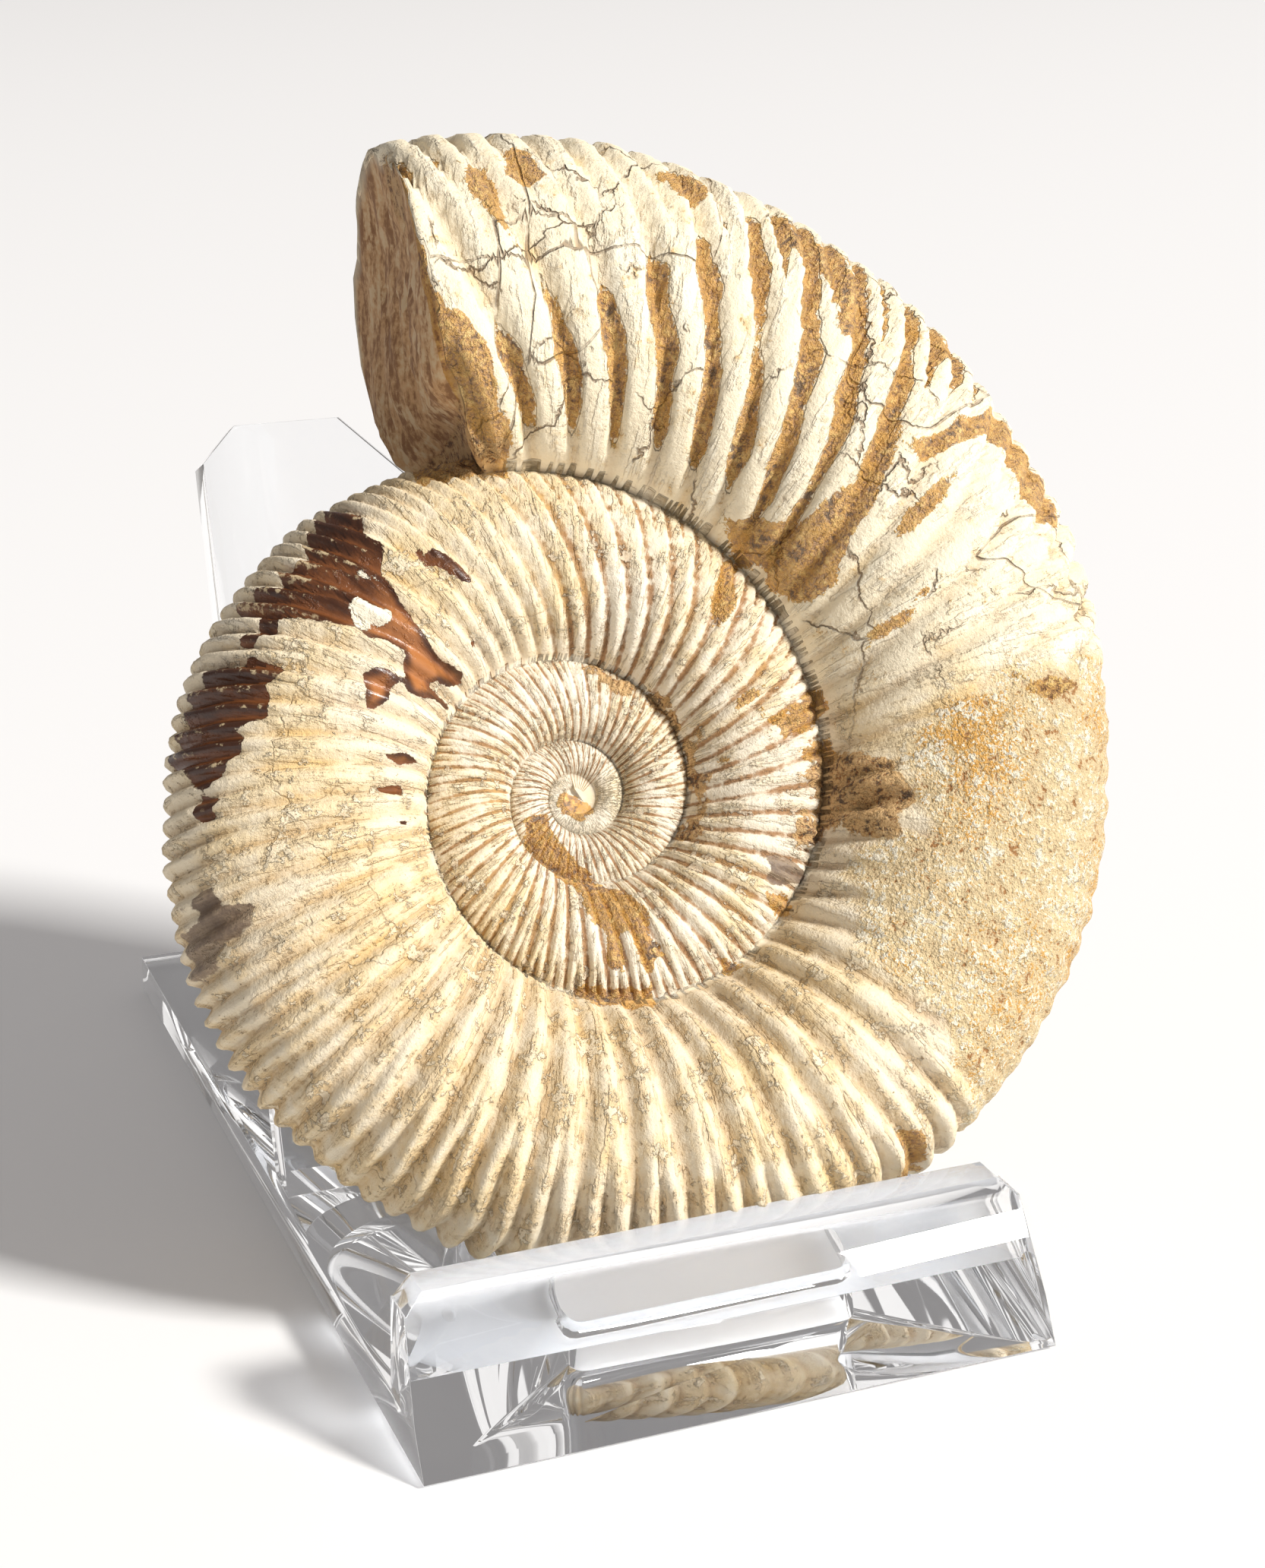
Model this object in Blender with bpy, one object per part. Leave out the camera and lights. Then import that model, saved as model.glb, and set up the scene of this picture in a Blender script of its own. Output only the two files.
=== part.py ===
"""Coiled fossil shell leaning on a clear moulded display stand.

Metres, +Z up. The stand's underside is on Z = 0, the viewer stands on the -Y side,
and the origin is the bottom centre of the whole object's box.
"""
import math

import bmesh
import bpy
from mathutils import Euler, Vector

MM = 0.001

# Stand: one moulding with a foot plate, a front lip and two leaning arms.
STAND_WIDTH = 45.0 * MM
FOOT_DEPTH = 81.7 * MM
FOOT_THICKNESS = 3.0 * MM
LIP_HEIGHT = 10.4 * MM
LIP_TOP_FRONT = 5.7 * MM
LIP_TOP_BACK = 8.2 * MM
LIP_ROOT_BACK = 6.8 * MM
LIP_END_DRAFT = math.radians(4.8)
LIP_CORNER_CUT = 1.3 * MM
WINDOW_WIDTH = 20.4 * MM
WINDOW_FRONT = 8.6 * MM
WINDOW_BACK = 31.5 * MM
WINDOW_CORNER = 1.2 * MM
ARM_THICKNESS = 3.2 * MM
ARM_ROOT_FRONT = 34.2 * MM
ARM_LENGTH = 58.5 * MM
ARM_LEAN = math.radians(23.0)
ARM_SIDE_INSET = 0.5 * MM
ARM_SIDE_DRAFT = math.radians(1.5)
ARM_OUTER_CUT = 2.6 * MM
ARM_TOP_WIDTH = 8.0 * MM
NOTCH_DEPTH = 7.0 * MM
ARM_ROOT_SINK = 1.6 * MM

# Shell: a flat spiral. The angle "back" is measured back in growth from the broken end.
SHELL_LEAN = math.radians(30.0)
SHELL_YAW = math.radians(-5.0)
SHELL_CENTRE = Vector((21.6, 29.9, 32.6)) * MM
BROKEN_END_ANGLE = math.radians(101.0)
VENTER_RADIUS = 48.5 * MM
VENTER_GROWTH = 0.1085
VENTER_OVAL = 0.055
VENTER_STEADY = 0.35
SEAM_RADIUS = 23.3 * MM
SEAM_GROWTH = 0.137
SEAM_OVAL = 0.06
HALF_THICKNESS = 12.4 * MM
THICKNESS_GROWTH = 0.088
THICKNESS_EASE = 0.002
FLANK_CREST = 0.42
RIB_HEIGHT = 0.32 * MM
RIBS_PER_TURN = 48
TURNS = 3
INNER_COLUMNS = 4
OUTER_COLUMNS = 3
BOSS_HEIGHT = 2.1 * MM

FULL_TURN = 2.0 * math.pi


def clear_scene():
    for old in list(bpy.data.objects):
        bpy.data.objects.remove(old, do_unlink=True)


def new_collection(name):
    collection = bpy.data.collections.new(name)
    bpy.context.scene.collection.children.link(collection)
    return collection


def principled(name, colour, roughness, transmission=0.0):
    material = bpy.data.materials.new(name)
    material.use_nodes = True
    shader = material.node_tree.nodes["Principled BSDF"]
    shader.inputs["Base Color"].default_value = (*colour, 1.0)
    shader.inputs["Roughness"].default_value = roughness
    shader.inputs["Metallic"].default_value = 0.0
    shader.inputs["Transmission Weight"].default_value = transmission
    material.diffuse_color = (*colour, 1.0)
    return material


def as_guide(cutter):
    cutter.hide_render = True
    cutter.display_type = "WIRE"
    return cutter


def extruded_outline(name, outline, thickness, collection):
    """A mesh plate from a closed outline in its own XY plane, centred on that plane."""
    curve = bpy.data.curves.new(name + "_outline", "CURVE")
    curve.dimensions = "2D"
    curve.fill_mode = "BOTH"
    curve.extrude = thickness / 2.0
    spline = curve.splines.new("POLY")
    spline.points.add(len(outline) - 1)
    for point, (x, y) in zip(spline.points, outline):
        point.co = (x, y, 0.0, 1.0)
    spline.use_cyclic_u = True
    drawn = bpy.data.objects.new(name + "_outline", curve)
    collection.objects.link(drawn)
    bpy.context.view_layer.update()
    evaluated = drawn.evaluated_get(bpy.context.evaluated_depsgraph_get())
    mesh = bpy.data.meshes.new_from_object(evaluated)
    work = bmesh.new()
    work.from_mesh(mesh)
    bmesh.ops.remove_doubles(work, verts=work.verts, dist=1e-6)
    bmesh.ops.recalc_face_normals(work, faces=work.faces)
    work.to_mesh(mesh)
    work.free()
    bpy.data.objects.remove(drawn, do_unlink=True)
    plate = bpy.data.objects.new(name, mesh)
    collection.objects.link(plate)
    return plate


def box_cutter(name, size, place, collection, turn=(0.0, 0.0, 0.0), corner=0.0):
    """A box-shaped cutter, with its upright edges rounded when a corner radius is given."""
    mesh = bpy.data.meshes.new(name)
    work = bmesh.new()
    bmesh.ops.create_cube(work, size=1.0)
    bmesh.ops.scale(work, vec=size, verts=work.verts)
    if corner:
        upright = [e for e in work.edges if abs(e.verts[0].co.z - e.verts[1].co.z) > size[2] / 2.0]
        bmesh.ops.bevel(work, geom=upright, offset=corner, segments=4, profile=0.5,
                        affect="EDGES", clamp_overlap=True)
    work.to_mesh(mesh)
    work.free()
    cutter = bpy.data.objects.new(name, mesh)
    cutter.location = place
    cutter.rotation_euler = turn
    collection.objects.link(cutter)
    return as_guide(cutter)


def add_boolean(target, tool, operation):
    modifier = target.modifiers.new(tool.name, "BOOLEAN")
    modifier.operation = operation
    modifier.solver = "EXACT"
    modifier.object = tool


def foot_and_lip(parts, tools):
    """The foot plate and the wedge-shaped lip, drawn as one side outline."""
    side = [(0.0, 0.0), (FOOT_DEPTH, 0.0), (FOOT_DEPTH, FOOT_THICKNESS),
            (LIP_ROOT_BACK, FOOT_THICKNESS), (LIP_TOP_BACK, LIP_HEIGHT), (LIP_TOP_FRONT, LIP_HEIGHT)]
    foot = extruded_outline("display_stand", side, STAND_WIDTH, parts)
    # The outline's X and Y become the stand's Y and Z.
    foot.rotation_euler = (math.radians(90.0), 0.0, math.radians(90.0))
    foot.location = (STAND_WIDTH / 2.0, 0.0, 0.0)
    window = box_cutter(
        "window_cutter",
        (WINDOW_WIDTH, WINDOW_BACK - WINDOW_FRONT, 3.0 * FOOT_THICKNESS),
        (STAND_WIDTH / 2.0, (WINDOW_FRONT + WINDOW_BACK) / 2.0, FOOT_THICKNESS / 2.0),
        tools, corner=WINDOW_CORNER)
    add_boolean(foot, window, "DIFFERENCE")
    reach = 3.0 * LIP_HEIGHT
    inset = (LIP_HEIGHT - FOOT_THICKNESS) * math.tan(LIP_END_DRAFT)
    corner_side = LIP_CORNER_CUT * math.sqrt(2.0)
    for name, end, way in (("left", 0.0, -1.0), ("right", STAND_WIDTH, 1.0)):
        # A block outside each end, leaning inwards about the foot's top edge.
        lean = Euler((0.0, -way * LIP_END_DRAFT, 0.0))
        middle = Vector((way * reach / 2.0, 0.0, reach / 2.0))
        middle.rotate(lean)
        hinge = Vector((end, LIP_TOP_FRONT, FOOT_THICKNESS))
        block = box_cutter(name + "_draft_cutter", (reach, reach, reach), hinge + middle, tools,
                           turn=lean)
        add_boolean(foot, block, "DIFFERENCE")
        corner = box_cutter(name + "_corner_cutter", (corner_side, reach, corner_side),
                            (end - way * inset, LIP_TOP_FRONT, LIP_HEIGHT), tools,
                            turn=(0.0, math.radians(45.0), 0.0))
        add_boolean(foot, corner, "DIFFERENCE")
    return foot


def arm_outline():
    """Front outline of the two arms, about the stand's middle line, Y up along the arms."""
    half = STAND_WIDTH / 2.0
    bottom = half - ARM_SIDE_INSET
    top = bottom - ARM_LENGTH * math.tan(ARM_SIDE_DRAFT)
    shoulder = bottom - (ARM_LENGTH - ARM_OUTER_CUT) * math.tan(ARM_SIDE_DRAFT)
    inner = top - ARM_OUTER_CUT - ARM_TOP_WIDTH
    right = [(bottom, 0.0), (shoulder, ARM_LENGTH - ARM_OUTER_CUT), (top - ARM_OUTER_CUT, ARM_LENGTH),
             (inner, ARM_LENGTH), (inner - NOTCH_DEPTH, ARM_LENGTH - NOTCH_DEPTH)]
    return right + [(-x, y) for x, y in reversed(right)]


def leaning_arms(tools):
    arms = extruded_outline("leaning_arms", arm_outline(), ARM_THICKNESS, tools)
    arms.rotation_euler = (math.radians(90.0) - ARM_LEAN, 0.0, 0.0)
    sink = ARM_ROOT_SINK / math.cos(ARM_LEAN)
    front = ARM_THICKNESS / 2.0
    arms.location = (
        STAND_WIDTH / 2.0,
        ARM_ROOT_FRONT - sink * math.sin(ARM_LEAN) + front * math.cos(ARM_LEAN),
        FOOT_THICKNESS - sink * math.cos(ARM_LEAN) - front * math.sin(ARM_LEAN))
    return as_guide(arms)


def build_stand(parts, tools):
    stand = foot_and_lip(parts, tools)
    add_boolean(stand, leaning_arms(tools), "UNION")
    return stand


def venter_radius(back):
    """Outer radius of the last turn; growth slows down towards the broken end."""
    eased = back - VENTER_STEADY * (1.0 - math.exp(-back / VENTER_STEADY))
    oval = VENTER_OVAL * math.sin(back / 2.0) ** 2
    return VENTER_RADIUS * math.exp(-VENTER_GROWTH * eased - oval)


def seam_radius(back):
    """Radius of the groove where a turn sits on the one inside it."""
    oval = SEAM_OVAL * math.sin(back) ** 2 if back < FULL_TURN else 0.0
    return SEAM_RADIUS * math.exp(-SEAM_GROWTH * back - oval)


def half_thickness(back):
    return HALF_THICKNESS * math.exp(-THICKNESS_GROWTH * back - THICKNESS_EASE * back * back)


def outer_flank(across):
    """Height of the section outside its crest, 1 at the crest and 0 at the venter."""
    out = (across - FLANK_CREST) / (1.0 - FLANK_CREST)
    return math.sqrt(max(0.0, 1.0 - out ** 2.3))


SEAM_SHARE = ((seam_radius(0.0) - seam_radius(FULL_TURN))
              / (venter_radius(FULL_TURN) - seam_radius(FULL_TURN)))


def section_height(back, across):
    """Height above the middle plane, from the seam (0) to the venter (1)."""
    crest = half_thickness(back)
    if across >= FLANK_CREST:
        return crest * outer_flank(across)
    seam = half_thickness(back + FULL_TURN) * outer_flank(SEAM_SHARE)
    left = (FLANK_CREST - across) / FLANK_CREST
    return seam + (crest - seam) * math.sqrt(1.0 - left ** 2.6)


def section_places():
    """Places across a section: the part an outer turn would cover starts at SEAM_SHARE."""
    inner = [SEAM_SHARE * k / INNER_COLUMNS for k in range(INNER_COLUMNS + 1)]
    span = 1.0 - SEAM_SHARE
    outer = [SEAM_SHARE + span * math.sin(0.5 * math.pi * k / OUTER_COLUMNS)
             for k in range(1, OUTER_COLUMNS + 1)]
    return inner, outer


def shell_row(back, rib):
    """(radius, height) pairs of one section; rib is +1 on a crest and -1 in a groove."""
    inner, outer = section_places()
    low = seam_radius(back)
    places = inner + outer if back <= FULL_TURN else inner
    if back <= FULL_TURN:
        reach = venter_radius(back) - low
    else:
        reach = (seam_radius(back - FULL_TURN) - low) / SEAM_SHARE
    size = half_thickness(back) / HALF_THICKNESS
    row = []
    for across in places:
        lift = 0.0 if across in (inner[0], inner[-1]) else rib * RIB_HEIGHT * size
        flat = section_height(back, across) / half_thickness(back)
        radius = low + across * reach + lift * max(0.0, across - FLANK_CREST)
        row.append((radius, flat * (half_thickness(back) + lift)))
    return row


def build_shell(parts):
    """The shell and its stone filling, one closed body lofted along the spiral."""
    rows_per_turn = 2 * RIBS_PER_TURN
    row_count = TURNS * rows_per_turn + 1
    venter_column = INNER_COLUMNS + OUTER_COLUMNS
    work = bmesh.new()
    grids = {1.0: [], -1.0: []}
    for side, grid in grids.items():
        for i in range(row_count):
            back = FULL_TURN * i / rows_per_turn
            angle = BROKEN_END_ANGLE - back
            line = []
            for j, (radius, height) in enumerate(shell_row(back, 1.0 if i % 2 else -1.0)):
                if j == INNER_COLUMNS and i >= rows_per_turn:
                    # The outer seam of this turn is the inner seam of the next one.
                    line.append(grid[i - rows_per_turn][0])
                elif side < 0.0 and j == venter_column:
                    line.append(grids[1.0][i][j])
                else:
                    line.append(work.verts.new((radius * math.cos(angle), radius * math.sin(angle),
                                                side * height)))
            grid.append(line)
        for i in range(row_count - 1):
            columns = venter_column if i < rows_per_turn else INNER_COLUMNS
            for j in range(columns):
                corners = [grid[i][j], grid[i + 1][j], grid[i + 1][j + 1], grid[i][j + 1]]
                work.faces.new(corners if side < 0.0 else corners[::-1])
        # The innermost turn closes on a low boss.
        first = (TURNS - 1) * rows_per_turn
        rim = [grid[i][0] for i in range(first, row_count)]
        rim += grid[row_count - 1][1:INNER_COLUMNS]
        boss = work.verts.new((0.0, 0.0, side * BOSS_HEIGHT))
        for a, b in zip(rim, rim[1:] + rim[:1]):
            work.faces.new((a, b, boss) if side < 0.0 else (b, a, boss))
    # The broken end: last section outside, the turn under it inside.
    front, rear = grids[1.0], grids[-1.0]
    outside = front[0] + rear[0][-2::-1]
    inside = rear[rows_per_turn][INNER_COLUMNS + 1:] + front[rows_per_turn][-2:INNER_COLUMNS:-1]
    work.faces.new(outside + inside)
    bmesh.ops.recalc_face_normals(work, faces=work.faces)
    mesh = bpy.data.meshes.new("ammonite")
    work.to_mesh(mesh)
    work.free()
    mesh.shade_smooth()
    mesh.set_sharp_from_angle(angle=math.radians(40.0))
    shell = bpy.data.objects.new("ammonite", mesh)
    shell.location = SHELL_CENTRE
    shell.rotation_euler = (math.radians(90.0) - SHELL_LEAN, 0.0, SHELL_YAW)
    parts.objects.link(shell)
    return shell


def centre_on_origin(pieces):
    """Hang the pieces on one empty and move it so that the box's bottom centre is the origin."""
    bpy.context.view_layer.update()
    depsgraph = bpy.context.evaluated_depsgraph_get()
    corners = []
    for piece in pieces:
        evaluated = piece.evaluated_get(depsgraph)
        corners += [piece.matrix_world @ vertex.co for vertex in evaluated.data.vertices]
    middle = [(min(c[k] for c in corners) + max(c[k] for c in corners)) / 2.0 for k in (0, 1)]
    frame = bpy.data.objects.new("assembly_frame", None)
    bpy.context.scene.collection.objects.link(frame)
    for piece in [o for o in bpy.data.objects if o is not frame and o.parent is None]:
        piece.parent = frame
    frame.location = (-middle[0], -middle[1], 0.0)
    bpy.context.view_layer.update()


def main():
    clear_scene()
    parts = new_collection("perisphinctes_ammonite")
    tools = new_collection("cutters")
    shell = build_shell(parts)
    shell.data.materials.append(principled("chalky_shell", (0.78, 0.66, 0.47), 0.85))
    stand = build_stand(parts, tools)
    stand.data.materials.append(principled("clear_plastic", (0.93, 0.94, 0.96), 0.05, 1.0))
    centre_on_origin([shell, stand])


main()
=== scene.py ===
import math

import bpy
import numpy as np
from mathutils import Euler, Matrix, Vector


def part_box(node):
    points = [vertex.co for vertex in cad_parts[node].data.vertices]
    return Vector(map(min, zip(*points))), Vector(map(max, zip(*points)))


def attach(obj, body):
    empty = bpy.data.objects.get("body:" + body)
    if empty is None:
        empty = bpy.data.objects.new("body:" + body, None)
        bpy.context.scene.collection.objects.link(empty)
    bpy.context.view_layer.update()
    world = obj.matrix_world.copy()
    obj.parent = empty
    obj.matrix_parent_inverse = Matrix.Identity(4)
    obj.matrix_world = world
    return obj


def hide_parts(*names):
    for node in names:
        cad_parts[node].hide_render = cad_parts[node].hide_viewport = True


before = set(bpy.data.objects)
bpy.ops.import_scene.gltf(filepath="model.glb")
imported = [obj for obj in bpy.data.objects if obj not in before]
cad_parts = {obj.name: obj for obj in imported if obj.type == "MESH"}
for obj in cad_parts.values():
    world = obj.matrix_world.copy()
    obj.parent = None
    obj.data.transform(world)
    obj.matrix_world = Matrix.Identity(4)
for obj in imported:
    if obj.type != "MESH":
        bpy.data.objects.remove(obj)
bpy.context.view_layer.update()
for name in ("Cube", "Light", "Camera"):
    if name in bpy.data.objects:
        bpy.data.objects.remove(bpy.data.objects[name])
bpy.ops.object.select_all(action="DESELECT")

mm = 0.001
fullTurn = 2 * math.pi
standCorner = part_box("display_stand")[0]
print("frame loaded")

# The shell is a flat spiral. "back" is the angle back in growth from the broken end.
shell = {
    "centre": standCorner + Vector((21.6, 29.9, 32.6)) * mm,
    "lean": math.radians(30),
    "yaw": math.radians(-5),
    "brokenEnd": math.radians(101),
    "venter": 48.5 * mm,
    "venterGrowth": 0.1085,
    "venterOval": 0.055,
    "venterSteady": 0.35,
    "seam": 23.3 * mm,
    "seamGrowth": 0.137,
    "seamOval": 0.06,
    "halfThickness": 12.4 * mm,
    "thicknessGrowth": 0.088,
    "thicknessEase": 0.002,
    "crest": 0.42,
    "turns": 4,
    "rows": 690,
    "seamColumns": {1: 17, -1: 8},
    "venterColumns": {1: 14, -1: 12},
    "faceLayers": 34,
    "bulgeAt": ([0, 0.06, 0.3, 0.55, 0.85, 1], [0, 2.2, 3.0, 2.4, 0.4, -0.6]),
    "bulgeReach": 0.12,
}
shellTurn = Euler((math.radians(90) - shell["lean"], 0, shell["yaw"])).to_matrix().to_4x4()
shellPlace = Matrix.Translation(shell["centre"]) @ shellTurn


def ease(low, high, value):
    share = np.clip((value - low) / (high - low), 0, 1)
    return share * share * (3 - 2 * share)


# Smooth lumps from a table of random numbers, between -1 and 1.
class Lumps:
    cells = 32

    def __init__(self, seed):
        self.table = np.random.default_rng(seed).random((self.cells,) * 3)

    def at(self, places, size):
        spot = places / size + 100
        cell = np.floor(spot).astype(int)
        share = spot - cell
        share = share * share * (3 - 2 * share)
        total = 0
        for corner in np.ndindex(2, 2, 2):
            weight = 1
            for axis in range(3):
                part = share[..., axis]
                weight = weight * (part if corner[axis] else 1 - part)
            i, j, k = [(cell[..., axis] + corner[axis]) % self.cells for axis in range(3)]
            total = total + weight * self.table[i, j, k]
        return 2 * total - 1

    def mixed(self, places, size, octaves=3):
        total = 0
        for step in range(octaves):
            total = total + self.at(places + 7.3 * step * size, size / 2 ** step) * 0.55 ** step
        return total


coarse, medium, fine = Lumps(3), Lumps(11), Lumps(23)


def venterRadius(back):
    eased = back - shell["venterSteady"] * (1 - np.exp(-back / shell["venterSteady"]))
    oval = shell["venterOval"] * np.sin(back / 2) ** 2
    return shell["venter"] * np.exp(-shell["venterGrowth"] * eased - oval)


def seamRadius(back):
    oval = np.where(back < fullTurn, shell["seamOval"] * np.sin(back) ** 2, 0)
    return shell["seam"] * np.exp(-shell["seamGrowth"] * back - oval)


def halfThickness(back):
    growth = shell["thicknessGrowth"] * back + shell["thicknessEase"] * back * back
    return shell["halfThickness"] * np.exp(-growth)


def outerFlank(across):
    out = (across - shell["crest"]) / (1 - shell["crest"])
    return np.sqrt(np.clip(1 - np.clip(out, 0, 1) ** 2.3, 0, 1))


# How far over a turn the next turn covers it, as a share from its own seam to its rim.
zero, oneTurn = np.array(0.0), np.array(fullTurn)
seamShare = float((seamRadius(zero) - seamRadius(oneTurn)) / (venterRadius(oneTurn) - seamRadius(oneTurn)))


def sectionHeight(back, across):
    crest = halfThickness(back)
    low = halfThickness(back + fullTurn) * outerFlank(np.array(seamShare))
    left = np.clip((shell["crest"] - across) / shell["crest"], 0, 1)
    inner = low + (crest - low) * (1 - left ** 2) ** 0.8
    return np.where(across >= shell["crest"], crest * outerFlank(across), inner)


def smoothPlace(back, across, side):
    low = seamRadius(back)
    inside = (seamRadius(np.maximum(back - fullTurn, 0)) - low) / seamShare
    reach = np.where(back <= fullTurn, venterRadius(back) - low, inside)
    radius = low + across * reach
    # The broken end bulges forward in the middle of the flank.
    bulge = np.interp(across, *shell["bulgeAt"])
    angle = shell["brokenEnd"] - back + np.radians(bulge) * np.exp(-back / shell["bulgeReach"])
    return np.stack([radius * np.cos(angle), radius * np.sin(angle), side * sectionHeight(back, across)], -1)


def outward(back, across, side):
    step = 0.002
    along = smoothPlace(back + step, across, side) - smoothPlace(np.maximum(back - step, 0), across, side)
    over = (smoothPlace(back, np.minimum(across + step, 1), side)
            - smoothPlace(back, np.maximum(across - step, 0), side))
    normal = np.cross(over, along) * -side[..., None]
    return normal / np.linalg.norm(normal, axis=-1, keepdims=True)


ribs = {
    "countAt": ([0, 1.5, 4, 6.2, 7, 9, 12, 15, 19], [8.2, 8.3, 8.2, 8.6, 8.6, 8.8, 9.0, 8.0, 7.0]),
    "bendAt": ([0, 0.5, 0.9, 1.4, 2, 2.6, 3.4, 4.2, 5, 5.6, 6.3, 7.5, 9, 12],
               [-0.17, -0.2, -0.24, -0.25, -0.15, -0.09, -0.03, 0.03, -0.1, -0.2, -0.3, -0.22, -0.1, -0.12]),
    "height": 0.15,
    "split": (0.48, 0.86),
}
# Rib counts are per radian, so their running sum numbers the ribs.
countSteps = np.linspace(-1, 20, 4201)
countSum = np.cumsum(np.interp(countSteps, *ribs["countAt"])) * (countSteps[1] - countSteps[0])
ribLuck = np.random.default_rng(5).random(512)


def ribShape(back, across, places):
    bend = np.interp(back, *ribs["bendAt"])
    phase = np.interp(back - bend * across, countSteps, countSum)
    phase = phase + 0.07 * medium.at(places, 4 * mm)
    index = np.round(phase).astype(int)
    part = phase - index
    luck = ribLuck[index % len(ribLuck)]
    start = ribs["split"][0] + 0.14 * (luck - 0.5)
    spread = 0.25 * ease(start, ribs["split"][1], across)
    between = np.abs(part) < spread
    away = np.where(between, spread - np.abs(part), np.abs(part) - spread)
    half = np.where(between, spread, 0.5 - spread)
    slope = np.sin(0.5 * np.pi * np.clip(away / np.maximum(half, 1e-4), 0, 1)) ** 2
    depth = np.where(between, np.clip(spread / 0.2, 0, 1), 1)
    shape = 1 - 2 * depth * slope ** 1.35
    spacing = np.hypot(places[..., 0], places[..., 1]) / np.interp(back, *ribs["countAt"])
    size = spacing * ribs["height"] * (half / 0.5) ** 0.55 * (0.8 + 0.35 * luck)
    return shape, size


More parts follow.
